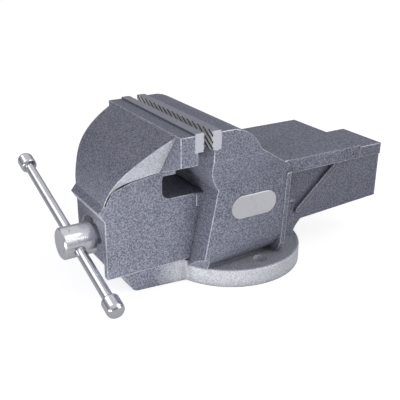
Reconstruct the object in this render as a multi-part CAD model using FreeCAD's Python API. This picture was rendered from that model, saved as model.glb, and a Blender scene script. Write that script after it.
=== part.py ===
import FreeCAD, Part
import os
from math import atan2, cos, hypot, pi, radians, sin, sqrt

V = FreeCAD.Vector
os.makedirs("parts", exist_ok=True)

# ---------------------------------------------------------------- driving dimensions, mm
# Axes: X across the jaws, -Y toward the handle, +Y toward the anvil, Z up.
# Origin: centre of the round base, on its underside.
# Lengths written behind(d) are measured rearward from the gripping face of the fixed jaw.
# The moving jaw and the screw are drawn with the jaws shut and then backed off by JAW_GAP.
JAW_WIDTH = 150.0
JAW_TOP = 169.2            # top of both castings at the jaws
FACE_TO_BASE = 70.5        # gripping face to the base centre
JAW_GAP = 8.7              # opening of the jaws as drawn

PLATE_HEIGHT = 17.5
PLATE_THICK = 9.0
PLATE_PROUD = 1.8          # plate stands this much above the castings
TOOTH_PITCH = 9.5          # along the jaw
TOOTH_WIDTH = 4.4          # groove between two teeth, along the jaw at the face
TOOTH_DEPTH = 1.0
TOOTH_RUN = 1.6            # the grooves run this much along the jaw per mm of height
PLATE_SCREW_SPACING = 90.0
PLATE_SCREW_UP = 6.2       # screw centre above the plate's lower edge
PLATE_SCREW_DIA = 5.0      # M5 socket head screws
SCREW_HEAD_DIA = 8.5
SCREW_HEAD_HEIGHT = 5.0
SCREW_SUNK = 1.2           # heads below the gripping face
SCREW_REACH = 15.0         # thread in the casting behind the plate
HEX_KEY = 4.0

BASE_RADIUS = 77.0
BASE_THICK = 19.0
BOLT_HOLE_DIA = 14.0
BOLT_PITCH_RADIUS = 59.0

BODY_HALF = 60.0           # fixed casting below the flared head
BODY_REAR = 104.0          # rear of the wide part of the casting
RIB_WIDTH = 5.4            # upright rib at its rear edge
PAD_HALF = 56.8            # anvil pad
PAD_FRONT = 97.0
PAD_REAR = 200.2
PAD_TOP = 119.9
PAD_THICK = 14.5
TAIL_REAR = 257.3
TAIL_WALL = 6.0            # casting on each side of the slide
TAIL_TOP = 106.0
LIP_PROUD = 1.7
LIP_HEIGHT = 12.7

SLAB_HALF = 34.0           # wide front part of the moving jaw's slide
SLAB_BOTTOM = 26.8
SLAB_TOP = 96.5
SLAB_FRONT = -80.3
SLAB_REAR = 38.7
SLIDE_BOTTOM = 45.0        # narrow part that runs through the fixed casting
SLIDE_TOP = 93.0
SLIDE_REAR = 258.7
SLIDE_WALL = 6.5
SLIDE_FIT = 0.4            # clearance between slide and fixed casting, each side

AXIS_Z = 58.7              # height of the clamping screw
HEAD_DIA = 31.5
HEAD_FRONT = -112.8
HEAD_REAR = -80.8
COLLAR_STEP = 1.5          # collar stands this much above the screw, each side
SCREW_DIA = 22.0
THREAD_PITCH = 6.0
THREAD_DEPTH = 2.6
THREAD_START = -23.3
SCREW_END = 256.7
SHAFT_FIT = 0.35           # radial clearance of turning parts
RECESS_HALF = 27.0         # pocket in the front wall, round the screw
RECESS_FLOOR = -70.8
WALL_REAR = -57.3          # inner side of the moving jaw's front wall

BAR_DIA = 10.2
BAR_Y = -98.7
BAR_TILT = 16.4            # degrees, high end toward -X
BAR_LOW = 91.3             # screw axis to the centre of the low knob, along the bar
BAR_HIGH = 136.8
KNOB_DIA = 17.0
KNOB_LENGTH = 19.0
KNOB_DOME = 5.5            # rounding of the outer end
KNOB_EDGE = 3.0            # and of the end toward the bar

NUT_WALL = 3.5             # nut beside the thread
NUT_ROOM = 2.5             # between the nut and the inside of the slide
NUT_FRONT = 62.0
NUT_LENGTH = 38.0
NUT_BOLT_DIA = 10.0
NUT_STEM_DIA = 24.0        # the nut's stem drops into the floor of the tunnel
NUT_STEM_FIT = 0.3
HOLE_FIT = 0.1             # radial clearance of bolts and pins
WASHER_THICK = 2.5
PIN_Y = -36.3
PIN_DIA = 4.0
SPRING_WIRE = 2.6
HALF_COILS = 6
BADGE_LENGTH = 53.5
BADGE_HEIGHT = 24.0
BADGE_THICK = 1.0
SEAT_GAP = 0.3             # paint or air gap between touching bodies

nut_half = SCREW_DIA / 2 + NUT_WALL
slide_half = nut_half + NUT_ROOM + SLIDE_WALL
tunnel_half = slide_half + SLIDE_FIT
tail_half = tunnel_half + TAIL_WALL
lip_half = tail_half + LIP_PROUD


def behind(d):
    return d - FACE_TO_BASE


def box(x0, x1, y0, y1, z0, z1):
    return Part.makeBox(x1 - x0, y1 - y0, z1 - z0, V(x0, y0, z0))


def rod(radius, p, q):
    step = V(*q) - V(*p)
    return Part.makeCylinder(radius, step.Length, V(*p), step)


def wire(path, place):
    """Closed wire from 2-D points; a pair of points is an arc (middle, end)."""
    edges = []
    here = path[0]
    for item in path[1:] + [path[0]]:
        if isinstance(item[0], tuple):
            arc = Part.Arc(place(*here), place(*item[0]), place(*item[1]))
            edges.append(arc.toShape())
            here = item[1]
        elif hypot(item[0] - here[0], item[1] - here[1]) > 1e-6:
            edges.append(Part.makeLine(place(*here), place(*item)))
            here = item
    return Part.Wire(edges)


def side_profile(path, x0, x1):
    """Prism across the vise from a (behind, z) outline."""
    face = Part.Face(wire(path, lambda d, z: V(x0, behind(d), z)))
    return face.extrude(V(x1 - x0, 0, 0))


def front_profile(path, d0, d1):
    """Prism along the vise from an (x, z) outline."""
    face = Part.Face(wire(path, lambda x, z: V(x, behind(d0), z)))
    return face.extrude(V(0, d1 - d0, 0))


def both_sides(shape):
    return shape.fuse(shape.mirror(V(0, 0, 0), V(1, 0, 0)))


def edges_where(shape, test):
    found = []
    for edge in shape.Edges:
        if edge.Length > 1.0 and test(edge, edge.BoundBox):
            found.append(edge)
    return found


def rounded(shape, radius, test):
    edges = edges_where(shape, test)
    if not edges:
        raise ValueError("no edge found to round")
    return shape.makeFillet(radius, edges)


def one_solid(shape, name):
    shape = shape.removeSplitter()
    if len(shape.Solids) != 1:
        raise ValueError("%s is %d solids" % (name, len(shape.Solids)))
    return shape.Solids[0]


def save(shape, name):
    shape.exportStep("parts/%s.step" % name)


def save_opened(shape, name):
    """For what moves with the front jaw: drawn with the jaws shut, saved with them open."""
    shape.translate(V(0, -JAW_GAP, 0))
    save(shape, name)


# ---------------------------------------------------------------- fixed casting
plate_bottom = JAW_TOP + PLATE_PROUD - PLATE_HEIGHT
jaw_half = JAW_WIDTH / 2
front_lean = 0.204         # the front wall leans back this much per mm of height
flare_low = JAW_TOP - 63.2 # the sides flare out to the jaw's width between these heights
flare_middle = flare_low + 18
flare_high = JAW_TOP - 28.2


def front_wall(z):
    return 1.0 + front_lean * (z - SLAB_BOTTOM)


rear_at_foot = BODY_REAR - 4.6
head_and_body = side_profile([
    (front_wall(0), 0), (front_wall(flare_low), flare_low),
    ((5.8, flare_middle), (2.2, flare_high)), (2.2, plate_bottom), (PLATE_THICK, plate_bottom),
    (PLATE_THICK, JAW_TOP), (24, JAW_TOP), ((42, JAW_TOP - 7.2), (54.5, JAW_TOP - 23.2)),
    (PAD_FRONT, PAD_TOP), (BODY_REAR, PAD_TOP), (rear_at_foot, 29), (rear_at_foot, 0)],
    -jaw_half, jaw_half)
flare_half = BODY_HALF + 0.453 * (jaw_half - BODY_HALF)
half_section = [(0, 0), (BODY_HALF, 0), (BODY_HALF, flare_low),
                ((flare_half, flare_middle), (jaw_half, flare_high)),
                (jaw_half, JAW_TOP + 10), (0, JAW_TOP + 10)]
section = both_sides(front_profile(half_section, -5, PAD_FRONT))
section = section.fuse(box(-BODY_HALF, BODY_HALF, behind(PAD_FRONT), behind(120), 0, PAD_TOP - PAD_THICK))
section = section.fuse(box(-PAD_HALF, PAD_HALF, behind(PAD_FRONT), behind(120), 0, PAD_TOP + 10))
body = head_and_body.common(section)

# the waist: the sides curve in to a narrower foot at the base, behind the front corners
# stations of the waist: (behind, how far the foot stands in from the side)
rib_front = rear_at_foot - RIB_WIDTH
WAIST = [(8, 2.5), (11, 8.5), (16, 12), (24, 13.5), (54, 14), (rib_front, 19.5)]
waist_top = 50.0
rib_low = 31.0
rear_foot_half = 36.5


def waist_cut(stations, side, start, top):
    """Cuts the side away below an arc that leaves the side upright and ends at the foot."""
    wires = []
    for d, inset in stations:
        rise = top - start
        radius = (inset * inset + rise * rise) / (2 * inset)
        half_turn = atan2(rise, radius - inset) / 2
        middle = (side - radius + radius * cos(half_turn), top - radius * sin(half_turn))
        foot = side - inset
        path = [(foot, -1), (foot, start), (middle, (side + 0.01, top)), (side + 30, top), (side + 30, -1)]
        wires.append(wire(path, lambda x, z: V(x, behind(d), z)))
    return both_sides(Part.makeLoft(wires, True, True))


body = body.cut(waist_cut(WAIST, BODY_HALF, BASE_THICK + 1, waist_top))
body = body.cut(waist_cut([(rib_front, BODY_HALF - 39.5), (130, BODY_HALF - rear_foot_half)], BODY_HALF,
                          BASE_THICK + 1, rib_low))
# the front corners round in to the edge of the base
bowl = wire([(BASE_RADIUS, -1), (BASE_RADIUS, 12), ((81, 24), (96, 38)), (140, 38), (140, -1)],
            lambda radius, z: V(radius, 0, z))
body = body.cut(Part.Face(bowl).revolve(V(0, 0, 0), V(0, 0, 1), 360))

foot_disc = Part.makeCylinder(BASE_RADIUS, BASE_THICK)
foot_disc = rounded(foot_disc, 2.5, lambda e, b: b.ZMin > BASE_THICK - 0.01 and b.XLength > 10)

# lower rear pillar and the tail that carries the anvil pad
pillar_rear = 138.0
tail_low_front = 35.5
tail_low_rear = 41.0
tail = side_profile([
    (90, 0), (pillar_rear - 4, 0), ((pillar_rear, 26), (146, tail_low_front)),
    (TAIL_REAR, tail_low_rear), (TAIL_REAR, TAIL_TOP), (PAD_REAR - 4, TAIL_TOP),
    (PAD_REAR - 4, PAD_TOP - 1), (90, PAD_TOP - 1)], -tail_half, tail_half)
lip = box(-lip_half, lip_half, behind(PAD_REAR - 4), behind(TAIL_REAR),
          TAIL_TOP - LIP_HEIGHT, TAIL_TOP)
pad = box(-PAD_HALF, PAD_HALF, behind(PAD_FRONT), behind(PAD_REAR), PAD_TOP - PAD_THICK, PAD_TOP)
pillar = Part.makeLoft([
    wire([(-rear_foot_half, 90), (rear_foot_half, 90), (34, pillar_rear - 6),
          (-34, pillar_rear - 6)], lambda x, d: V(x, behind(d), 0)),
    wire([(-rear_foot_half, 90), (rear_foot_half, 90), (tail_half, pillar_rear - 2),
          (-tail_half, pillar_rear - 2)], lambda x, d: V(x, behind(d), 60))], True, True)
pad = rounded(pad, 1.5, lambda e, b: b.ZMin > PAD_TOP - 0.01)

# upright rib along the rear edge of each side
rib_rise = (BODY_REAR - rear_at_foot) / (PAD_TOP - 29)
rib_top = PAD_TOP - PAD_THICK + 3
side_rib = side_profile([
    (rib_front, rib_low), (rear_at_foot, rib_low), (rear_at_foot + rib_rise * (rib_top - 29), rib_top),
    (rib_front + rib_rise * (rib_top - 29), rib_top)], BODY_HALF - 8, BODY_HALF + 1.2)
side_rib = side_rib.common(box(0, 200, -200, 200, 0, rib_top))

# diagonal ribs between the tail walls and the pad
rib_foot = V(0, behind(138), 49)
rib_aim = V(0, behind(198), 101)
rib_dir = (rib_aim - rib_foot).normalize()
rib_up = V(0, -rib_dir.z, rib_dir.y)
rib_width = 6.0
rib_out = tail_half + 4.5
rib_in = tail_half - 2
rib_end = rib_foot + rib_dir * 110
rib_points = [rib_foot - rib_up * (rib_width / 2), rib_end - rib_up * (rib_width / 2),
              rib_end + rib_up * (rib_width / 2), rib_foot + rib_up * (rib_width / 2)]
rib_points = [V(rib_in, p.y, p.z) for p in rib_points]
rib = Part.Face(Part.makePolygon(rib_points + rib_points[:1])).extrude(V(rib_out - rib_in, 0, 0))
rib = rib.fuse(rod(rib_width / 2, (rib_in, rib_foot.y, rib_foot.z), (rib_out, rib_foot.y, rib_foot.z)))
rib = rib.common(box(0, PAD_HALF, behind(PAD_FRONT), behind(PAD_REAR), 0, PAD_TOP - 1))

# chin under the slide, part of the same casting
chin_top = SLAB_BOTTOM - 3.2
chin = side_profile([
    (10, 0), (-52.5, 0), ((-58, 2), (-60.5, 6.5)), (-63.5, chin_top - 11.1), (-71, chin_top - 4.1),
    (-71.5, chin_top), (10, chin_top)], -32, 32)
chin_plan = Part.Face(wire([(-30.5, 12), (-21.5, -75), (21.5, -75), (30.5, 12)],
                           lambda x, d: V(x, behind(d), -1))).extrude(V(0, 0, 40))
chin = chin.common(chin_plan)

# machined lugs that guide the slab at the mouth of the pocket
pocket_half = SLAB_HALF + SLIDE_FIT
upper_lug = box(pocket_half - 1, pocket_half + 1.7, behind(7), behind(20), SLAB_TOP - 13.5, SLAB_TOP - 0.5)
lower_lug = box(SLAB_HALF - 6, SLAB_HALF + 1, behind(-3.2), behind(6), 4, SLAB_BOTTOM - 1.8)

fixed_body = body
for piece in (foot_disc, tail, lip, pad, pillar, both_sides(rib), both_sides(side_rib), chin,
              both_sides(upper_lug), both_sides(lower_lug)):
    fixed_body = fixed_body.fuse(piece)

# tunnel for the slide, open below behind the pillar
pocket = box(-pocket_half, pocket_half, behind(-10), behind(SLAB_REAR + 3),
             SLAB_BOTTOM - SLIDE_FIT, SLAB_TOP + SLIDE_FIT)
tunnel_floor = SLIDE_BOTTOM - SLIDE_FIT
tunnel = box(-tunnel_half, tunnel_half, behind(0), behind(TAIL_REAR + 5), tunnel_floor,
             SLIDE_TOP + SLIDE_FIT)
tail_open = box(-tunnel_half, tunnel_half, behind(pillar_rear + 2), behind(TAIL_REAR + 5), 20, 60)
nut_bolt_y = behind(NUT_FRONT + NUT_LENGTH / 2)
floor_thick = 12.0
core = rod(30.0, (0, nut_bolt_y - 8, -1), (0, nut_bolt_y - 8, tunnel_floor - floor_thick))
bolt_hole_x = [BOLT_PITCH_RADIUS, -BOLT_PITCH_RADIUS]
fixed_body = fixed_body.cut(pocket.fuse(tunnel).fuse(tail_open))
fixed_body = fixed_body.cut(core)
for x in bolt_hole_x:
    fixed_body = fixed_body.cut(rod(BOLT_HOLE_DIA / 2, (x, 0, -1), (x, 0, BASE_THICK + 1)))
fixed_body = fixed_body.cut(rod(NUT_STEM_DIA / 2 + NUT_STEM_FIT, (0, nut_bolt_y, 20), (0, nut_bolt_y, 60)))
screw_z = plate_bottom + PLATE_SCREW_UP
plate_screw_x = [-PLATE_SCREW_SPACING / 2, PLATE_SCREW_SPACING / 2]
screw_end = PLATE_THICK + SCREW_REACH + 2
for x in plate_screw_x:
    fixed_body = fixed_body.cut(rod(PLATE_SCREW_DIA / 2 + HOLE_FIT, (x, behind(0), screw_z),
                                    (x, behind(screw_end), screw_z)))
fixed_body = one_solid(fixed_body, "fixed_body")
save(fixed_body, "fixed_body")

# ---------------------------------------------------------------- moving casting
moving_back = -PLATE_THICK
ledge = moving_back + 3.0
block_front = -23.5
head_rise = JAW_TOP - SLAB_TOP
overhang = jaw_half - SLAB_HALF
block_low = flare_high + 0.6
web_top = SLAB_TOP + 28.0
throat_rear = -20.8

# stations along the curved head, from the jaw block to the nose, as shares of its length, of
# the rise of its top, of the overhang of its sides and of the rise of their lower edges
HEAD_STATIONS = [
    (-0.012, 0.986, 0.810, 0.387), (0.208, 0.898, 0.751, 0.373), (0.393, 0.809, 0.690, 0.356),
    (0.551, 0.717, 0.615, 0.340), (0.692, 0.615, 0.517, 0.315), (0.817, 0.491, 0.376, 0.272),
    (0.912, 0.345, 0.220, 0.206), (0.974, 0.210, 0.093, 0.117), (1.0, 0.089, 0.0, 0.028)]
sections = []
for along, top_share, side_share, low_share in HEAD_STATIONS:
    half = SLAB_HALF + overhang * side_share
    top = SLAB_TOP + head_rise * top_share
    low = SLAB_TOP + head_rise * low_share
    corners = [(-half, top), (half, top), (SLAB_HALF, low), (-SLAB_HALF, low)]
    d = block_front + (SLAB_FRONT - block_front) * along
    sections.append(wire(corners, lambda x, z: V(x, behind(d), z)))
head = Part.makeLoft(sections, True, False)

block = side_profile([
    (block_front, SLAB_TOP), (block_front, JAW_TOP), (moving_back, JAW_TOP), (moving_back, plate_bottom),
    (ledge, plate_bottom), (ledge, SLAB_TOP)], -jaw_half, jaw_half)
block_section = [(0, web_top - 4.5), (SLAB_HALF - 1, web_top - 4.5), (SLAB_HALF, web_top),
                 (jaw_half, block_low), (jaw_half, JAW_TOP + 10), (0, JAW_TOP + 10)]
block = block.common(both_sides(front_profile(block_section, -40, 0)))
nose = SLAB_FRONT + 0.5
web = side_profile([
    (nose, SLAB_TOP - 2.5), (nose, SLAB_TOP + 2.5), (nose + 3, SLAB_TOP + 10.5),
    (nose + 8.5, SLAB_TOP + 18.5), (nose + 28.5, SLAB_TOP + 24.5), (throat_rear + 9.5, SLAB_TOP + 29.5),
    ((throat_rear + 2.6, SLAB_TOP + 25.9), (throat_rear, SLAB_TOP + 18.5)), (throat_rear, SLAB_TOP + 8),
    ((throat_rear + 2.4, SLAB_TOP + 2.3), (throat_rear + 8, SLAB_TOP)), (throat_rear + 8, SLAB_TOP - 2.5)],
    -SLAB_HALF, SLAB_HALF)
ridge = side_profile([
    (SLAB_FRONT + 1, SLAB_TOP + 7), (SLAB_FRONT, SLAB_TOP + 6.5), (SLAB_FRONT - 5.7, SLAB_TOP - 0.4),
    (SLAB_FRONT, SLAB_TOP - 9.5), (SLAB_FRONT + 1, SLAB_TOP - 9.5)], -SLAB_HALF, SLAB_HALF)
slab = box(-SLAB_HALF, SLAB_HALF, behind(SLAB_FRONT), behind(SLAB_REAR), SLAB_BOTTOM, SLAB_TOP)
slide = box(-slide_half, slide_half, behind(SLAB_REAR - 5), behind(SLIDE_REAR), SLIDE_BOTTOM, SLIDE_TOP)

moving_jaw = head
for piece in (block, web, ridge, slab, slide):
    moving_jaw = moving_jaw.fuse(piece)

# pocket in the front wall round the screw, and the hollow inside of the slide
recess_spring = AXIS_Z - 5.7
recess = front_profile([(-RECESS_HALF, 0), (-RECESS_HALF, recess_spring),
                        ((0, AXIS_Z + 21.3), (RECESS_HALF, recess_spring)), (RECESS_HALF, 0)],
                       SLAB_FRONT - 10, RECESS_FLOOR)
cavity_top = SLIDE_TOP - 9
wide_half = 24.0
narrow_half = slide_half - SLIDE_WALL
cavity = box(-wide_half, wide_half, behind(WALL_REAR), behind(SLAB_REAR - 20), 0, cavity_top)
cavity = cavity.fuse(box(-narrow_half, narrow_half, behind(0), behind(SLIDE_REAR + 5), 0, cavity_top))
screw_bore = rod(SCREW_DIA / 2 + SHAFT_FIT, (0, behind(-100), AXIS_Z), (0, behind(0), AXIS_Z))
moving_jaw = moving_jaw.cut(recess).cut(cavity).cut(screw_bore)
for x in plate_screw_x:
    moving_jaw = moving_jaw.cut(rod(PLATE_SCREW_DIA / 2 + HOLE_FIT, (x, behind(block_front - 1), screw_z),
                                    (x, behind(moving_back), screw_z)))
save_opened(one_solid(moving_jaw, "moving_jaw"), "moving_jaw")

# ---------------------------------------------------------------- jaw plates and their screws
def jaw_plate(d0, face_sign):
    """Plate from d0 rearward; face_sign -1 puts the teeth on its front, 1 on its rear."""
    plate = box(-jaw_half, jaw_half, behind(d0), behind(d0 + PLATE_THICK), plate_bottom,
                plate_bottom + PLATE_HEIGHT)
    tooth_face = behind(d0) if face_sign < 0 else behind(d0 + PLATE_THICK)
    other = behind(d0 + PLATE_THICK) if face_sign < 0 else behind(d0)
    inward = 1 if face_sign < 0 else -1
    grooves = []
    reach = PLATE_HEIGHT + 4
    count = int((JAW_WIDTH + TOOTH_RUN * reach) / TOOTH_PITCH) + 2
    for i in range(count):
        x = -jaw_half - TOOTH_RUN * (PLATE_HEIGHT + 2) + i * TOOTH_PITCH
        top = V(x, tooth_face, plate_bottom + PLATE_HEIGHT + 2)
        vee = [top + V(-TOOTH_WIDTH / 2, -inward * 0.01, 0), top + V(TOOTH_WIDTH / 2, -inward * 0.01, 0),
               top + V(0, inward * TOOTH_DEPTH, 0)]
        grooves.append(Part.Face(Part.makePolygon(vee + vee[:1])).extrude(V(TOOTH_RUN * reach, 0, -reach)))
    plate = plate.cut(Part.makeCompound(grooves))
    for x in plate_screw_x:
        plate = plate.cut(rod(PLATE_SCREW_DIA / 2 + 2 * HOLE_FIT, (x, tooth_face - inward, screw_z),
                              (x, other + inward, screw_z)))
        plate = plate.cut(rod(SCREW_HEAD_DIA / 2 + SEAT_GAP, (x, tooth_face - inward, screw_z),
                              (x, tooth_face + inward * (SCREW_HEAD_HEIGHT + SCREW_SUNK), screw_z)))
    return one_solid(plate, "jaw plate")


def plate_screws(d0, face_sign):
    tooth_face = behind(d0) if face_sign < 0 else behind(d0 + PLATE_THICK)
    inward = 1 if face_sign < 0 else -1
    seat = tooth_face + inward * (SCREW_HEAD_HEIGHT + SCREW_SUNK)
    key_radius = HEX_KEY / sqrt(3)
    solids = []
    for x in plate_screw_x:
        screw = rod(SCREW_HEAD_DIA / 2, (x, seat - inward * SCREW_HEAD_HEIGHT, screw_z), (x, seat, screw_z))
        screw = rounded(screw, 0.6, lambda e, b: abs(b.YMin - seat) > 1 and b.XLength > 5)
        tip = seat + inward * SCREW_REACH
        screw = screw.fuse(rod(PLATE_SCREW_DIA / 2, (x, seat, screw_z), (x, tip, screw_z)))
        key = [V(x + key_radius * cos(i * pi / 3), seat - inward * SCREW_HEAD_HEIGHT,
                 screw_z + key_radius * sin(i * pi / 3)) for i in range(7)]
        key_depth = inward * SCREW_HEAD_HEIGHT * 0.6
        screw = screw.cut(Part.Face(Part.makePolygon(key)).extrude(V(0, key_depth, 0)))
        solids.append(one_solid(screw, "plate screw"))
    return Part.makeCompound(solids)


save(jaw_plate(0, -1), "fixed_jaw_plate")
save(plate_screws(0, -1), "fixed_plate_screws")
save_opened(jaw_plate(moving_back, 1), "moving_jaw_plate")
save_opened(plate_screws(moving_back, 1), "moving_plate_screws")

# ---------------------------------------------------------------- clamping screw and its retainers
tilt = radians(BAR_TILT)
bar_dir = V(-cos(tilt), 0, sin(tilt))
bar_centre = V(0, behind(BAR_Y), AXIS_Z)
washer_front = RECESS_FLOOR - SEAT_GAP - WASHER_THICK


def turned(path):
    """Solid of revolution about the screw axis from (behind, radius) points."""
    face = Part.Face(Part.makePolygon([V(0, behind(d), AXIS_Z + r) for d, r in path + path[:1]]))
    return face.revolve(V(0, 0, AXIS_Z), V(0, 1, 0), 360)


root = SCREW_DIA / 2 - THREAD_DEPTH
collar = SCREW_DIA / 2 + COLLAR_STEP
outline = [(HEAD_FRONT, 0), (HEAD_FRONT, HEAD_DIA / 2 - 1.5), (HEAD_FRONT + 1.5, HEAD_DIA / 2),
           (HEAD_REAR - 0.8, HEAD_DIA / 2), (HEAD_REAR, HEAD_DIA / 2 - 0.8), (HEAD_REAR, collar),
           (washer_front - SEAT_GAP, collar), (washer_front - SEAT_GAP, SCREW_DIA / 2),
           (THREAD_START, SCREW_DIA / 2)]
turns = int((SCREW_END - THREAD_START) / THREAD_PITCH)
for i in range(turns):
    start = THREAD_START + i * THREAD_PITCH
    outline += [(start + 0.16 * THREAD_PITCH, root), (start + 0.5 * THREAD_PITCH, root),
                (start + 0.66 * THREAD_PITCH, SCREW_DIA / 2), (start + THREAD_PITCH, SCREW_DIA / 2)]
outline += [(SCREW_END - 2, SCREW_DIA / 2), (SCREW_END, SCREW_DIA / 2 - 2), (SCREW_END, 0)]
spindle = turned(outline)
bar_hole = rod(BAR_DIA / 2 + SEAT_GAP, tuple(bar_centre - bar_dir * 30), tuple(bar_centre + bar_dir * 30))
spindle = spindle.cut(bar_hole)
pin_place = V(0, behind(PIN_Y), AXIS_Z)
pin_hole = rod(PIN_DIA / 2 + HOLE_FIT, tuple(pin_place - V(0, 0, 20)), tuple(pin_place + V(0, 0, 20)))
spindle = spindle.cut(pin_hole)
save_opened(one_solid(spindle, "spindle"), "spindle")


def washer(d0, d1, outer, inner):
    ring = rod(outer / 2, (0, behind(d0), AXIS_Z), (0, behind(d1), AXIS_Z))
    return ring.cut(rod(inner / 2, (0, behind(d0) - 1, AXIS_Z), (0, behind(d1) + 1, AXIS_Z)))


washer_bore = SCREW_DIA + 2 * HOLE_FIT
save_opened(washer(washer_front, washer_front + WASHER_THICK, SCREW_DIA + 10, washer_bore), "thrust_washer")

spring_radius = SCREW_DIA / 2 + 0.75 + SPRING_WIRE / 2
spring_front = WALL_REAR + 0.4
spring_rear = PIN_Y - PIN_DIA / 2 - WASHER_THICK - 0.5
coil_step = (spring_rear - spring_front - SPRING_WIRE) / HALF_COILS
coil = None
for i in range(HALF_COILS):
    side = 1 if i % 2 == 0 else -1
    y = behind(spring_front + SPRING_WIRE / 2 + coil_step * i)
    start = V(side * spring_radius, y, AXIS_Z)
    middle = V(0, y + coil_step / 2, AXIS_Z)
    turn_axis = V(side * coil_step / 2, spring_radius, 0)
    circle = Part.Face(Part.Wire(Part.makeCircle(SPRING_WIRE / 2, start, V(0, 0, 1))))
    half_coil = circle.revolve(middle, turn_axis, -180)
    coil = half_coil if coil is None else coil.fuse(half_coil)
save_opened(one_solid(coil, "spring"), "take_up_spring")
spring_seat = spring_rear + 0.2
save_opened(washer(spring_seat, spring_seat + WASHER_THICK, SCREW_DIA + 7, washer_bore), "spring_washer")

pin_reach = SCREW_DIA / 2 + 5.6
pin = rod(PIN_DIA / 2, tuple(pin_place - V(0, 0, pin_reach)), tuple(pin_place + V(0, 0, pin_reach)))
eye_centre = pin_place + V(0, 0, pin_reach + PIN_DIA * 0.7)
eye = Part.makeTorus(PIN_DIA * 0.75, PIN_DIA / 4, eye_centre, V(1, 0, 0))
save_opened(one_solid(pin.fuse(eye), "cotter pin"), "cotter_pin")

# ---------------------------------------------------------------- sliding handle
bar_low_end = bar_centre - bar_dir * BAR_LOW
bar_high_end = bar_centre + bar_dir * BAR_HIGH
save_opened(rod(BAR_DIA / 2, tuple(bar_low_end), tuple(bar_high_end)), "handle_bar")


def knob(centre, outward):
    ends = (centre - outward * (KNOB_LENGTH / 2), centre + outward * (KNOB_LENGTH / 2))
    turned_end = rod(KNOB_DIA / 2, tuple(ends[0]), tuple(ends[1]))
    for end, radius in ((ends[1], KNOB_DOME), (ends[0], KNOB_EDGE)):
        rim = [e for e in turned_end.Edges if e.Length > 20 and (e.CenterOfMass - end).Length < 2
               and e.Curve.TypeId == "Part::GeomCircle"]
        turned_end = turned_end.makeFillet(radius, rim[:1])
    hole = rod(BAR_DIA / 2 + 0.03, tuple(centre - outward * KNOB_LENGTH), tuple(centre + outward * 0.05))
    return one_solid(turned_end.cut(hole), "knob")


save_opened(knob(bar_low_end, bar_dir * -1), "handle_knob_low")
save_opened(knob(bar_high_end, bar_dir), "handle_knob_high")

# ---------------------------------------------------------------- nut, bolted up from below the casting
stem_low = tunnel_floor - floor_thick + 0.5
nut_rear = NUT_FRONT + NUT_LENGTH
nut_spring = AXIS_Z + 4
nut = front_profile([(-nut_half, tunnel_floor), (-nut_half, nut_spring),
                     ((0, AXIS_Z + 18), (nut_half, nut_spring)), (nut_half, tunnel_floor)],
                    NUT_FRONT, nut_rear)
nut = nut.fuse(rod(NUT_STEM_DIA / 2, (0, nut_bolt_y, stem_low), (0, nut_bolt_y, tunnel_floor + 1)))
nut = nut.cut(rod(SCREW_DIA / 2 + SHAFT_FIT, (0, behind(0), AXIS_Z), (0, behind(200), AXIS_Z)))
nut = nut.cut(rod(NUT_BOLT_DIA / 2 + 0.05, (0, nut_bolt_y, 0), (0, nut_bolt_y, AXIS_Z)))
save(one_solid(nut, "main nut"), "main_nut")

washer_top = tunnel_floor - floor_thick
washer_low = washer_top - 3.0
bolt_washer = rod(NUT_STEM_DIA / 2 + 5, (0, nut_bolt_y, washer_low), (0, nut_bolt_y, washer_top))
washer_hole = rod(NUT_BOLT_DIA / 2 + 4 * HOLE_FIT, (0, nut_bolt_y, 0), (0, nut_bolt_y, 60))
save(bolt_washer.cut(washer_hole), "nut_bolt_washer")
bolt_flats = 1.7 * NUT_BOLT_DIA
bolt_head = 0.64 * NUT_BOLT_DIA
hex_radius = bolt_flats / sqrt(3)
bolt_end = AXIS_Z - SCREW_DIA / 2 - 1.6
head_low = washer_low - bolt_head
hexagon = [V(hex_radius * cos(i * pi / 3), nut_bolt_y + hex_radius * sin(i * pi / 3), head_low)
           for i in range(7)]
bolt = Part.Face(Part.makePolygon(hexagon)).extrude(V(0, 0, bolt_head))
bolt = bolt.fuse(rod(NUT_BOLT_DIA / 2, (0, nut_bolt_y, washer_low - 1), (0, nut_bolt_y, bolt_end)))
save(one_solid(bolt, "nut bolt"), "nut_bolt")

# ---------------------------------------------------------------- plain name badge on the side
badge_centre = (59.2, 82.6)
flat = (BADGE_LENGTH - BADGE_HEIGHT) / 2
d, z = badge_centre
r = BADGE_HEIGHT / 2
badge = side_profile([(d - flat, z - r), (d + flat, z - r), ((d + flat + r, z), (d + flat, z + r)),
                      (d - flat, z + r), ((d - flat - r, z), (d - flat, z - r))],
                     BODY_HALF + 0.02, BODY_HALF + BADGE_THICK)
save(rounded(badge, 0.5, lambda e, b: b.XMin > BODY_HALF + BADGE_THICK - 0.01), "name_badge")
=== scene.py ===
from math import cos, radians, sin

import bpy
from mathutils import Matrix, Vector


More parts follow.
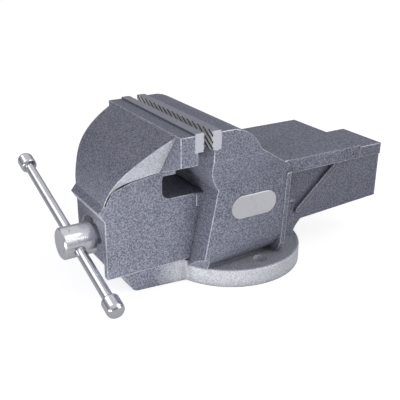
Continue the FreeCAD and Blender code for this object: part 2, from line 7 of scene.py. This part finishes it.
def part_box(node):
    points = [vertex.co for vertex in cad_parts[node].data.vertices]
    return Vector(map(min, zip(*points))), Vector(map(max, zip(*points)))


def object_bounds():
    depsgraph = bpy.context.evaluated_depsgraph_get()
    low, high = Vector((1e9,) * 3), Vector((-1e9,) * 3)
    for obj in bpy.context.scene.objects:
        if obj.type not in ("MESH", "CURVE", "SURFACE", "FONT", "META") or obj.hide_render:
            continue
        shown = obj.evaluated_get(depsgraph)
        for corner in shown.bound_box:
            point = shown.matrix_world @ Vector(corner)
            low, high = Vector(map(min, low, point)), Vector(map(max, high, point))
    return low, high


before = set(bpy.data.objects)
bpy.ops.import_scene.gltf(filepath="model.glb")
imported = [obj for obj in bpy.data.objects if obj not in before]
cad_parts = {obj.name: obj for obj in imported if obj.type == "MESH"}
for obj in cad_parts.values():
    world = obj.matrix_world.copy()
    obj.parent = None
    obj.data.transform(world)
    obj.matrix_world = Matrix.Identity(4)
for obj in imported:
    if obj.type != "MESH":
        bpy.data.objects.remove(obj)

cad_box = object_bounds()

# ---------------------------------------------------------------- viewpoint
# A bench vise seen from its right front corner, a little above the jaws, with the handle
# toward the viewer on the left and the anvil running away to the right.
eye_place = Vector((0.5489, -0.3720, 0.3446))
eye_azimuth = radians(58.636)
eye_elevation = radians(23.067)
eye_roll = radians(0.385)
eye_lens = 60.02

level_right = Vector((cos(eye_azimuth), sin(eye_azimuth), 0))
ahead = Vector((-sin(eye_azimuth) * cos(eye_elevation), cos(eye_azimuth) * cos(eye_elevation),
                -sin(eye_elevation)))
level_up = level_right.cross(ahead)
eye_right = level_right * cos(eye_roll) + level_up * sin(eye_roll)
eye_up = level_up * cos(eye_roll) - level_right * sin(eye_roll)

eye = bpy.data.objects.new("viewpoint", bpy.data.cameras.new("viewpoint"))
eye.data.lens = eye_lens
eye.data.sensor_width = 36.0
eye_turn = Matrix((eye_right, eye_up, -ahead)).transposed().to_4x4()
eye.matrix_world = Matrix.Translation(eye_place) @ eye_turn
bpy.context.scene.collection.objects.link(eye)
bpy.context.scene.camera = eye


# ---------------------------------------------------------------- castings in hammered paint
# The fixed body and the moving jaw are grey iron castings, sprayed with a metallic hammer-finish
# paint that dries into small dimples. The slide, its tunnel and the underside stay bare iron.
paint_dark = (0.024, 0.026, 0.042, 1)
paint_light = (0.290, 0.304, 0.370, 1)
# painted shade: near-black mixed into the paint in the inner corners that the occlusion mask finds
painted_corner_shade = (0.03, 0.03, 0.04, 1)
# partly edge wear and partly painted highlight: pale metal mixed into the paint along the outer edges
edge_wear_and_sheen_colour = (0.90, 0.91, 0.95, 1)
# painted light from underneath: a pale grey mixed into the paint on the base rim, step and chin and on faces
# that turn downward
painted_uplight = (0.76, 0.77, 0.80, 1)
bare_iron = (0.235, 0.230, 0.225, 1)
iron_stain = (0.10, 0.095, 0.09, 1)
dimple_size = 0.0018
dimple_depth = 0.00022
cast_edge = 0.0017
base_radius = 0.078


def place(tree, kind, **settings):
    """A shader node with its plain attributes set."""
    node = tree.nodes.new(kind)
    for key, value in settings.items():
        setattr(node, key, value)
    return node


def feed(tree, source, target):
    """Link from an output socket to an input socket."""
    tree.links.new(source, target)


def maths(tree, operation, a, b=0, clamp=False):
    """Maths node on two sockets or numbers, returning its output."""
    node = place(tree, "ShaderNodeMath", operation=operation, use_clamp=clamp)
    for socket, value in zip(node.inputs, (a, b)):
        if isinstance(value, (int, float)):
            socket.default_value = value
        else:
            feed(tree, value, socket)
    return node.outputs[0]


def stretched(tree, value, low, high, to_low=0.0, to_high=1.0):
    """Value moved from one range to another, clamped."""
    node = place(tree, "ShaderNodeMapRange")
    feed(tree, value, node.inputs["Value"])
    node.inputs["From Min"].default_value = low
    node.inputs["From Max"].default_value = high
    node.inputs["To Min"].default_value = to_low
    node.inputs["To Max"].default_value = to_high
    return node.outputs["Result"]


def mixed_colour(tree, share, a, b):
    """Colour a turned into colour b by share; each may be a socket or plain numbers."""
    node = place(tree, "ShaderNodeMix", data_type="RGBA")
    for socket, value in zip((node.inputs[0], node.inputs[6], node.inputs[7]), (share, a, b)):
        if isinstance(value, (int, float, tuple)):
            socket.default_value = value
        else:
            feed(tree, value, socket)
    return node.outputs[2]


def split(tree, vector):
    """The X, Y and Z outputs of a vector socket."""
    node = place(tree, "ShaderNodeSeparateXYZ")
    feed(tree, vector, node.inputs[0])
    return node.outputs


def effect(name, inputs, outputs):
    """Empty node group with inputs as (name, socket type, start) and outputs as (name, type)."""
    tree = bpy.data.node_groups.new(name, "ShaderNodeTree")
    for label, kind, start in inputs:
        socket = tree.interface.new_socket(label, in_out="INPUT", socket_type=kind)
        if start is not None:
            socket.default_value = start
    for label, kind in outputs:
        tree.interface.new_socket(label, in_out="OUTPUT", socket_type=kind)
    return tree, tree.nodes.new("NodeGroupInput"), tree.nodes.new("NodeGroupOutput")


def use(tree, group, **values):
    """Group placed in a material with its own numbers."""
    node = place(tree, "ShaderNodeGroup", node_tree=group)
    for label, value in values.items():
        node.inputs[label.replace("_", " ")].default_value = value
    return node


def make_hammer_finish():
    """Dimples and bright flecks of a hammered metallic paint."""
    tree, inside, out = effect("hammer_finish", [("Dimple Size", "NodeSocketFloat", 0.002)],
                               [("Fleck", "NodeSocketFloat"), ("Height", "NodeSocketFloat")])
    where = place(tree, "ShaderNodeTexCoord")
    scale = maths(tree, "DIVIDE", 1.0, inside.outputs["Dimple Size"])
    stir = place(tree, "ShaderNodeTexNoise")
    feed(tree, where.outputs["Object"], stir.inputs["Vector"])
    feed(tree, scale, stir.inputs["Scale"])
    stir.inputs["Detail"].default_value = 2.0
    pushed = place(tree, "ShaderNodeVectorMath", operation="MULTIPLY_ADD")
    feed(tree, stir.outputs["Color"], pushed.inputs[0])
    pushed.inputs[1].default_value = (0.0016, 0.0016, 0.0016)
    feed(tree, where.outputs["Object"], pushed.inputs[2])
    cells = place(tree, "ShaderNodeTexVoronoi", feature="SMOOTH_F1")
    feed(tree, pushed.outputs[0], cells.inputs["Vector"])
    feed(tree, scale, cells.inputs["Scale"])
    cells.inputs["Smoothness"].default_value = 0.4
    tone = place(tree, "ShaderNodeTexNoise")
    feed(tree, where.outputs["Object"], tone.inputs["Vector"])
    feed(tree, maths(tree, "MULTIPLY", scale, 1.15), tone.inputs["Scale"])
    tone.inputs["Detail"].default_value = 3.0
    tone.inputs["Roughness"].default_value = 0.7
    ring = stretched(tree, cells.outputs["Distance"], 0.1, 0.62)
    grain = stretched(tree, tone.outputs["Fac"], 0.40, 0.62)
    fleck = maths(tree, "ADD", maths(tree, "MULTIPLY", ring, 0.35), maths(tree, "MULTIPLY", grain, 0.65))
    feed(tree, fleck, out.inputs["Fleck"])
    feed(tree, ring, out.inputs["Height"])
    return tree


def make_edge_wear_sheen_and_corner_shade():
    """Rounded-off normal at sharp edges, a mask of the outer edges for wear and painted highlight, and an
    occlusion mask of the inner corners for painted shade.
    """
    tree, inside, out = effect("edge_wear_sheen_and_corner_shade", [("Radius", "NodeSocketFloat", 0.001)],
                               [("Normal", "NodeSocketVector"), ("Edge", "NodeSocketFloat"),
                                ("Corner", "NodeSocketFloat")])
    round_off = place(tree, "ShaderNodeBevel", samples=6)
    feed(tree, inside.outputs["Radius"], round_off.inputs["Radius"])
    facing = place(tree, "ShaderNodeNewGeometry")
    alike = place(tree, "ShaderNodeVectorMath", operation="DOT_PRODUCT")
    feed(tree, round_off.outputs[0], alike.inputs[0])
    feed(tree, facing.outputs["Normal"], alike.inputs[1])
    bent = stretched(tree, maths(tree, "SUBTRACT", 1.0, alike.outputs["Value"]), 0.01, 0.12)
    shade = place(tree, "ShaderNodeAmbientOcclusion", samples=6)
    feed(tree, maths(tree, "MULTIPLY", inside.outputs["Radius"], 4.0), shade.inputs["Distance"])
    open_air = stretched(tree, shade.outputs["AO"], 0.7, 0.85)
    feed(tree, round_off.outputs[0], out.inputs["Normal"])
    feed(tree, maths(tree, "MULTIPLY", bent, open_air), out.inputs["Edge"])
    feed(tree, stretched(tree, shade.outputs["AO"], 0.45, 0.95, 1.0, 0.0), out.inputs["Corner"])
    return tree


def make_handled_surface():
    """Slow patches of tone and small marks that every used surface has."""
    tree, inside, out = effect("handled_surface", [("Patch Size", "NodeSocketFloat", 0.05)],
                               [("Patch", "NodeSocketFloat"), ("Mark", "NodeSocketFloat")])
    where = place(tree, "ShaderNodeTexCoord")
    slow = place(tree, "ShaderNodeTexNoise")
    feed(tree, where.outputs["Object"], slow.inputs["Vector"])
    feed(tree, maths(tree, "DIVIDE", 1.0, inside.outputs["Patch Size"]), slow.inputs["Scale"])
    slow.inputs["Detail"].default_value = 3.0
    small = place(tree, "ShaderNodeTexNoise")
    feed(tree, where.outputs["Object"], small.inputs["Vector"])
    small.inputs["Scale"].default_value = 160.0
    small.inputs["Detail"].default_value = 4.0
    small.inputs["Distortion"].default_value = 1.2
    feed(tree, stretched(tree, slow.outputs["Fac"], 0.3, 0.7), out.inputs["Patch"])
    feed(tree, stretched(tree, small.outputs["Fac"], 0.58, 0.72), out.inputs["Mark"])
    return tree


def make_inside_box():
    """Mask that is 1 inside a box given by its centre and half size."""
    tree, inside, out = effect("inside_box",
                               [("Centre", "NodeSocketVector", None), ("Half", "NodeSocketVector", None)],
                               [("Mask", "NodeSocketFloat")])
    where = place(tree, "ShaderNodeTexCoord")
    away = place(tree, "ShaderNodeVectorMath", operation="SUBTRACT")
    feed(tree, where.outputs["Object"], away.inputs[0])
    feed(tree, inside.outputs["Centre"], away.inputs[1])
    size = place(tree, "ShaderNodeVectorMath", operation="ABSOLUTE")
    feed(tree, away.outputs[0], size.inputs[0])
    past = place(tree, "ShaderNodeVectorMath", operation="SUBTRACT")
    feed(tree, size.outputs[0], past.inputs[0])
    feed(tree, inside.outputs["Half"], past.inputs[1])
    past_x, past_y, past_z = split(tree, past.outputs[0])
    furthest = maths(tree, "MAXIMUM", maths(tree, "MAXIMUM", past_x, past_y), past_z)
    feed(tree, maths(tree, "LESS_THAN", furthest, 0.0), out.inputs["Mask"])
    return tree


def make_near_axis():
    """Mask that is 1 within a radius of the upright axis and fades out to 1.4 times that."""
    tree, inside, out = effect("near_axis", [("Radius", "NodeSocketFloat", 0.05)],
                               [("Mask", "NodeSocketFloat")])
    where = place(tree, "ShaderNodeTexCoord")
    level = place(tree, "ShaderNodeVectorMath", operation="MULTIPLY")
    feed(tree, where.outputs["Object"], level.inputs[0])
    level.inputs[1].default_value = (1, 1, 0)
    reach = place(tree, "ShaderNodeVectorMath", operation="LENGTH")
    feed(tree, level.outputs[0], reach.inputs[0])
    share = maths(tree, "DIVIDE", reach.outputs["Value"], inside.outputs["Radius"])
    feed(tree, stretched(tree, share, 1.0, 1.4, 1.0, 0.0), out.inputs["Mask"])
    return tree


hammer_finish = make_hammer_finish()
edge_wear_sheen_and_corner_shade = make_edge_wear_sheen_and_corner_shade()
handled_surface = make_handled_surface()
inside_box = make_inside_box()
near_axis = make_near_axis()


def new_material(name):
    """Material with one Principled shader on its output."""
    material = bpy.data.materials.new(name)
    material.use_nodes = True
    tree = material.node_tree
    tree.nodes.clear()
    shader = place(tree, "ShaderNodeBsdfPrincipled")
    output = place(tree, "ShaderNodeOutputMaterial")
    feed(tree, shader.outputs[0], output.inputs["Surface"])
    return material, tree, shader


def box_mask(tree, centre, half):
    """Mask of one box on this material."""
    box = use(tree, inside_box)
    box.inputs["Centre"].default_value = centre
    box.inputs["Half"].default_value = half
    return box.outputs["Mask"]


def bumped(tree, height, distance, under, target):
    """Bump of that height in metres over the normal under, fed to target."""
    bump = place(tree, "ShaderNodeBump")
    bump.inputs["Distance"].default_value = distance
    feed(tree, height, bump.inputs["Height"])
    feed(tree, under, bump.inputs["Normal"])
    feed(tree, bump.outputs[0], target)


def finished(node_name, material):
    """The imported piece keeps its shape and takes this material."""
    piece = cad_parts[node_name]
    piece.data.materials.clear()
    piece.data.materials.append(material)


def hammered_paint(name, bare_boxes, uplit_boxes=(), below_share=0.0):
    """Paint over the casting and bare iron in some boxes, with painted light from underneath in other boxes
    and on faces that turn downward, painted shade in inner corners, and bright edges that are partly wear
    and partly painted highlight.
    """
    material, tree, shader = new_material(name)
    hammer = use(tree, hammer_finish, Dimple_Size=dimple_size)
    edges = use(tree, edge_wear_sheen_and_corner_shade, Radius=cast_edge)
    handled = use(tree, handled_surface, Patch_Size=0.07)
    hammer_fleck = hammer.outputs["Fleck"]
    uneven = stretched(tree, handled.outputs["Patch"], 0.0, 1.0, -0.06, 0.06)
    tone = maths(tree, "ADD", hammer_fleck, uneven, clamp=True)
    paint = mixed_colour(tree, tone, paint_dark, paint_light)
    if uplit_boxes:
        near_base = use(tree, near_axis, Radius=base_radius).outputs["Mask"]
    # painted light on the base rim, step and chin, near the upright axis
    for centre, half, share in uplit_boxes:
        uplight_share = stretched(tree, hammer_fleck, 0, 1, 0.45 * share, share)
        uplit = maths(tree, "MULTIPLY", box_mask(tree, centre, half), near_base)
        paint = mixed_colour(tree, maths(tree, "MULTIPLY", uplit, uplight_share), paint, painted_uplight)
    # painted light on the faces that turn downward
    if below_share:
        upward = split(tree, place(tree, "ShaderNodeNewGeometry").outputs["True Normal"])["Z"]
        below = stretched(tree, upward, -0.15, -0.5, 0.0, below_share)
        below = maths(tree, "MULTIPLY", below, stretched(tree, hammer_fleck, 0.1, 0.8, 0.3, 1.0))
        paint = mixed_colour(tree, below, paint, painted_uplight)
    # painted shade in the inner corners, from the occlusion mask
    paint = mixed_colour(tree, maths(tree, "MULTIPLY", edges.outputs["Corner"], 0.25), paint, painted_corner_shade)
    # outer edges turn paler, partly wear and partly painted highlight
    patchy = stretched(tree, hammer_fleck, 0.1, 0.7, 0.35, 1.0)
    edge_wear_and_sheen = maths(tree, "MULTIPLY", edges.outputs["Edge"], patchy)
    paint = mixed_colour(tree, edge_wear_and_sheen, paint, edge_wear_and_sheen_colour)
    bare = box_mask(tree, *bare_boxes[0])
    for centre, half in bare_boxes[1:]:
        bare = maths(tree, "MAXIMUM", bare, box_mask(tree, centre, half))
    iron = mixed_colour(tree, handled.outputs["Mark"], bare_iron, iron_stain)
    feed(tree, mixed_colour(tree, bare, paint, iron), shader.inputs["Base Color"])
    metal = maths(tree, "MAXIMUM", bare, stretched(tree, edge_wear_and_sheen, 0.0, 1.0, 0.2, 0.8))
    feed(tree, metal, shader.inputs["Metallic"])
    gloss = stretched(tree, hammer_fleck, 0.0, 1.0, 0.42, 0.30)
    feed(tree, maths(tree, "ADD", gloss, maths(tree, "MULTIPLY", bare, 0.12)), shader.inputs["Roughness"])
    relief = maths(tree, "MULTIPLY", hammer.outputs["Height"], stretched(tree, bare, 0.0, 1.0, 1.0, 0.15))
    bumped(tree, relief, dimple_depth, edges.outputs["Normal"], shader.inputs["Normal"])
    return material


slide_half = 0.0238
slide_level = 0.069
slide_front = -0.036
slide_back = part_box("moving_jaw")[1].y
slide_centre = (0, (slide_front + slide_back) / 2, slide_level)
slide_size = (slide_half, (slide_back - slide_front) / 2 + 0.001, 0.026)
# the moving jaw's downward faces get painted light from underneath
finished("moving_jaw", hammered_paint("moving_jaw_paint", [(slide_centre, slide_size)], below_share=0.55))

tunnel = ((0, 0.06, slide_level), (0.0242, 0.126, 0.0249))
underside = ((0, 0, 0), (0.1, 0.1, 0.0003))
# painted light from underneath in these three boxes of the fixed body
base_rim = ((0, -0.035, 0.009), (0.08, 0.115, 0.0091), 1.0)
base_step = ((0, 0, 0.0185), (0.078, 0.078, 0.0007), 0.35)
chin = ((0, -0.11, 0.0213), (0.035, 0.045, 0.0032), 1.0)
finished("fixed_body", hammered_paint("fixed_body_paint", [tunnel, underside], [base_rim, base_step, chin]))


# ---------------------------------------------------------------- jaw plates
# Hardened steel bars, ground all over, with a diagonal serration cut across the gripping face.
# They are screwed into the step at the top of each casting.
plate_colour = (0.36, 0.37, 0.42, 1)
plate_mark_and_shade = (0.16, 0.16, 0.17, 1)
# painted light: the plate end faces are coloured paler than the rest of the plate
plate_end_light = (0.62, 0.63, 0.68, 1)
# painted highlight on the tooth crests and painted shade in the grooves
crest_highlight = (0.8, 0.8, 0.82, 1)
groove_shade = (0.03, 0.03, 0.035, 1)
# partly edge wear and partly painted highlight along the outer edges of bare metal
knocked_edge_and_sheen = (0.9, 0.9, 0.92, 1)
tooth_pitch = 0.0095
tooth_run = 1.6
tooth_depth = 0.0011


def make_drawn_lines():
    """Fine grinding or turning lines; they run along the axis that Squeeze has its least number on."""
    tree, inside, out = effect("drawn_lines", [("Squeeze", "NodeSocketVector", None)],
                               [("Line", "NodeSocketFloat")])
    where = place(tree, "ShaderNodeTexCoord")
    squeezed = place(tree, "ShaderNodeVectorMath", operation="MULTIPLY")
    feed(tree, where.outputs["Object"], squeezed.inputs[0])
    feed(tree, inside.outputs["Squeeze"], squeezed.inputs[1])
    lines = place(tree, "ShaderNodeTexNoise")
    feed(tree, squeezed.outputs[0], lines.inputs["Vector"])
    lines.inputs["Scale"].default_value = 1.0
    lines.inputs["Detail"].default_value = 4.0
    feed(tree, stretched(tree, lines.outputs["Fac"], 0.3, 0.7), out.inputs["Line"])
    return tree


drawn_lines = make_drawn_lines()


def bare_metal(name, colour, mark_and_shade_colour, squeeze, roughness, line_depth, edge_radius, edge_share=0.3,
               metal=1.0, cut_face=None):
    """Unpainted metal with fine lines, dull marks, painted shade in inner corners, bright edges that are
    partly wear and partly painted highlight and, if given, a machined face.
    """
    material, tree, shader = new_material(name)
    lines = use(tree, drawn_lines, Squeeze=squeeze)
    edges = use(tree, edge_wear_sheen_and_corner_shade, Radius=edge_radius)
    handled = use(tree, handled_surface, Patch_Size=0.02)
    tone = mixed_colour(tree, maths(tree, "MULTIPLY", handled.outputs["Mark"], 0.35), colour, mark_and_shade_colour)
    # painted shade: the mark colour darkens the inner corners, from the occlusion mask
    tone = mixed_colour(tree, maths(tree, "MULTIPLY", edges.outputs["Corner"], 0.5), tone, mark_and_shade_colour)
    # outer edges turn paler, partly wear and partly painted highlight
    tone = mixed_colour(tree, maths(tree, "MULTIPLY", edges.outputs["Edge"], edge_share), tone, knocked_edge_and_sheen)
    if cut_face:
        tone = cut_face(tree, tone)
    feed(tree, tone, shader.inputs["Base Color"])
    shader.inputs["Metallic"].default_value = metal
    rough = stretched(tree, lines.outputs["Line"], 0.0, 1.0, roughness * 0.85, roughness * 1.15)
    uneven = stretched(tree, handled.outputs["Patch"], 0.0, 1.0, -0.04, 0.06)
    feed(tree, maths(tree, "ADD", rough, uneven), shader.inputs["Roughness"])
    bumped(tree, lines.outputs["Line"], line_depth, edges.outputs["Normal"], shader.inputs["Normal"])
    return material


def serrated(tree, tone):
    """Painted highlight on the crests and painted shade in the grooves of the two gripping faces, and
    painted light that makes the end faces paler.
    """
    low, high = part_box("fixed_jaw_plate")
    moving_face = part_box("moving_jaw_plate")[1].y
    # painted light: end faces paler than the tops and gripping faces
    tone = mixed_colour(tree, box_mask(tree, (0, 0, 0), (high.x - 0.0002, 1, 1)), plate_end_light, tone)
    x, _, z = split(tree, place(tree, "ShaderNodeTexCoord").outputs["Object"])
    along = maths(tree, "ADD", x, maths(tree, "MULTIPLY", z, tooth_run))
    along = maths(tree, "SUBTRACT", along, low.x + tooth_run * low.z)
    from_groove = maths(tree, "PINGPONG", along, tooth_pitch / 2)
    crest = stretched(tree, from_groove, 0.17 * tooth_pitch, 0.25 * tooth_pitch)
    _, to_jaw, _ = split(tree, place(tree, "ShaderNodeNewGeometry").outputs["True Normal"])
    facing_jaw = stretched(tree, maths(tree, "ABSOLUTE", to_jaw), 0.2, 0.3)
    gap = box_mask(tree, (0, (moving_face + low.y) / 2, low.z),
                   (1, (low.y - moving_face) / 2 + tooth_depth, 1))
    # painted highlight on the crests and painted shade in the grooves, on the gripping faces inside the gap
    painted_tooth_light = mixed_colour(tree, crest, groove_shade, crest_highlight)
    return mixed_colour(tree, maths(tree, "MULTIPLY", facing_jaw, gap), tone, painted_tooth_light)


ground_steel = bare_metal("ground_steel", plate_colour, plate_mark_and_shade, squeeze=(30, 900, 900), roughness=0.36,
                          line_depth=0.00002, edge_radius=0.0004, metal=0.6, cut_face=serrated)
for node_name in ("fixed_jaw_plate", "moving_jaw_plate"):
    finished(node_name, ground_steel)


# ---------------------------------------------------------------- jaw plate screws
# Socket head cap screws in blackened steel, two to each plate. They pass through counterbores
# in the serrated face, sit a little below it and are driven with a hexagon key.
blackened = (0.045, 0.045, 0.05, 1)
blackened_mark_and_shade = (0.12, 0.10, 0.09, 1)
black_steel = bare_metal("black_steel", blackened, blackened_mark_and_shade, squeeze=(900, 900, 900), roughness=0.38,
                         line_depth=0.00001, edge_radius=0.0003, edge_share=0.4)
for node_name in ("fixed_plate_screws", "moving_plate_screws"):
    finished(node_name, black_steel)


# ---------------------------------------------------------------- clamping screw
# Turned from bar: a thick head with a cross hole for the handle, a collar that pushes on the
# moving jaw, and a square-topped thread that runs in the nut.
turned_colour = (0.94, 0.94, 0.96, 1)
turned_mark_and_shade = (0.30, 0.30, 0.31, 1)
turned_steel = bare_metal("turned_steel", turned_colour, turned_mark_and_shade, squeeze=(120, 1400, 120),
                          roughness=0.2, line_depth=0.000012, edge_radius=0.0005)
finished("spindle", turned_steel)


# ---------------------------------------------------------------- screw retainers
# Thrust washer in front of the wall, and behind it a stout spring, a washer and a split pin
# that take up the play so that the moving jaw backs off with the screw.
zinc_colour = (0.52, 0.54, 0.58, 1)
zinc_mark_and_shade = (0.25, 0.25, 0.26, 1)
spring_colour = (0.13, 0.13, 0.14, 1)
spring_mark_and_shade = (0.06, 0.05, 0.05, 1)
zinc_steel = bare_metal("zinc_steel", zinc_colour, zinc_mark_and_shade, squeeze=(500, 500, 500), roughness=0.3,
                        line_depth=0.00001, edge_radius=0.0003)
for node_name in ("thrust_washer", "spring_washer", "cotter_pin", "nut_bolt", "nut_bolt_washer"):
    finished(node_name, zinc_steel)
spring_steel = bare_metal("spring_steel", spring_colour, spring_mark_and_shade, squeeze=(700, 700, 700),
                          roughness=0.33, line_depth=0.00001, edge_radius=0.0003)
finished("take_up_spring", spring_steel)


# ---------------------------------------------------------------- sliding handle
# A bright drawn bar through the cross hole, with a turned knob pressed on each end so that
# it can't fall out. Both are polished and plated.
plated_colour = (0.82, 0.82, 0.84, 1)
plated_mark_and_shade = (0.35, 0.35, 0.36, 1)
plated_bar = bare_metal("plated_bar", plated_colour, plated_mark_and_shade, squeeze=(200, 200, 200), roughness=0.15,
                        line_depth=0.000006, edge_radius=0.0004)
for node_name in ("handle_bar", "handle_knob_low", "handle_knob_high"):
    finished(node_name, plated_bar)


# ---------------------------------------------------------------- main nut
# A cast iron block, bored and tapped for the clamping screw, on a round stem. The stem drops
# into the floor of the tunnel and is held by the bolt from below.
nut_colour = (0.16, 0.155, 0.15, 1)
nut_mark_and_shade = (0.07, 0.06, 0.055, 1)
cast_iron = bare_metal("cast_iron", nut_colour, nut_mark_and_shade, squeeze=(400, 400, 400), roughness=0.52,
                       line_depth=0.00006, edge_radius=0.0008)
finished("main_nut", cast_iron)


# ---------------------------------------------------------------- name badge
# A thin stamped aluminium plate with round ends, stuck to the side of the fixed body. Its face
# is brushed along its length and left blank.
badge_colour = (0.85, 0.85, 0.87, 1)
badge_mark_and_shade = (0.6, 0.6, 0.6, 1)
badge_metal = bare_metal("badge_metal", badge_colour, badge_mark_and_shade, squeeze=(40, 60, 2200), roughness=0.42,
                         line_depth=0.000006, edge_radius=0.0004)
finished("name_badge", badge_metal)


# ---------------------------------------------------------------- studio
# A plain pale table and a soft grey surround that looks white from the viewpoint, with a low lamp
# in front of the vise and three large soft cards above it. The table's glow lifts what faces down.
floor_half = 12.0
floor_sunk = 0.0002
floor_colour = (0.35, 0.35, 0.355, 1)
glow_place = (0.23, -0.29, 0)
glow_reach = 0.33
glow_near = (7.0, 7.0, 7.1, 1)
glow_far = (0.15, 0.15, 0.16, 1)
seen_floor = (0.80, 0.80, 0.80, 1)
low_surround = (0.22, 0.23, 0.27, 1)
high_surround = (0.60, 0.60, 0.63, 1)
backdrop = (1, 1, 1, 1)
backdrop_strength = 1.1

floor_mesh = bpy.data.meshes.new("table_top")
floor_mesh.from_pydata([(x, y, 0) for x, y in ((-floor_half, -floor_half), (floor_half, -floor_half),
                                               (floor_half, floor_half), (-floor_half, floor_half))],
                       [], [(0, 1, 2, 3)])
floor = bpy.data.objects.new("table_top", floor_mesh)
bpy.context.scene.collection.objects.link(floor)
floor.location.z = cad_box[0].z - floor_sunk
table_paint, table_tree, table_shader = new_material("white_table")
table_shader.inputs["Base Color"].default_value = floor_colour
table_shader.inputs["Roughness"].default_value = 0.9
table_shader.inputs["Emission Strength"].default_value = 1.0
table_spot = place(table_tree, "ShaderNodeTexCoord")
from_glow = place(table_tree, "ShaderNodeVectorMath", operation="DISTANCE")
feed(table_tree, table_spot.outputs["Object"], from_glow.inputs[0])
from_glow.inputs[1].default_value = glow_place
table_ray = place(table_tree, "ShaderNodeLightPath").outputs
table_glow = stretched(table_tree, from_glow.outputs["Value"], 0.0, glow_reach)
table_glow = mixed_colour(table_tree, table_glow, glow_near, glow_far)
table_glow = mixed_colour(table_tree, table_ray["Is Diffuse Ray"], glow_far, table_glow)
table_glow = mixed_colour(table_tree, table_ray["Is Camera Ray"], table_glow, seen_floor)
feed(table_tree, table_glow, table_shader.inputs["Emission Color"])
floor_mesh.materials.append(table_paint)

surround = bpy.data.worlds.new("surround")
bpy.context.scene.world = surround
surround.use_nodes = True
sky_tree = surround.node_tree
sky_tree.nodes.clear()
sky_height = split(sky_tree, place(sky_tree, "ShaderNodeTexCoord").outputs["Generated"])["Z"]
sky_height = stretched(sky_tree, sky_height, 0.25, 0.65)
sky_light = place(sky_tree, "ShaderNodeBackground")
feed(sky_tree, mixed_colour(sky_tree, sky_height, low_surround, high_surround), sky_light.inputs["Color"])
sky_light.inputs["Strength"].default_value = 1.0
sky_seen = place(sky_tree, "ShaderNodeBackground")
sky_seen.inputs["Color"].default_value = backdrop
sky_seen.inputs["Strength"].default_value = backdrop_strength
sky_choice = place(sky_tree, "ShaderNodeMixShader")
feed(sky_tree, place(sky_tree, "ShaderNodeLightPath").outputs["Is Camera Ray"], sky_choice.inputs[0])
feed(sky_tree, sky_light.outputs[0], sky_choice.inputs[1])
feed(sky_tree, sky_seen.outputs[0], sky_choice.inputs[2])
sky_output = place(sky_tree, "ShaderNodeOutputWorld")
feed(sky_tree, sky_choice.outputs[0], sky_output.inputs["Surface"])


def soft_lamp(name, power, width, height, stand, aim=(0, -0.05, 0.08)):
    """Rectangular soft light of so many watts that lights the vise and isn't itself in view."""
    lamp = bpy.data.lights.new(name, "AREA")
    lamp.shape = "RECTANGLE"
    lamp.size = width
    lamp.size_y = height
    lamp.energy = power
    holder = bpy.data.objects.new(name, lamp)
    holder.location = stand
    holder.rotation_mode = "QUATERNION"
    holder.rotation_quaternion = (Vector(aim) - Vector(stand)).to_track_quat("-Z", "Y")
    holder.visible_camera = False
    bpy.context.scene.collection.objects.link(holder)


soft_lamp("front_lamp", 0.6, 0.35, 0.1, (0.2, -0.55, 0.03), (0.02, -0.05, 0.07))
soft_lamp("tall_card", 3.2, 0.6, 0.9, (0.95, 0.58, 0.48))
soft_lamp("upper_card", 3.0, 0.8, 0.8, (0.50, 0.55, 0.98))
soft_lamp("high_card", 1.4, 0.6, 0.6, (-0.54, -0.65, 0.98))
bpy.context.scene.view_settings.view_transform = "Standard"
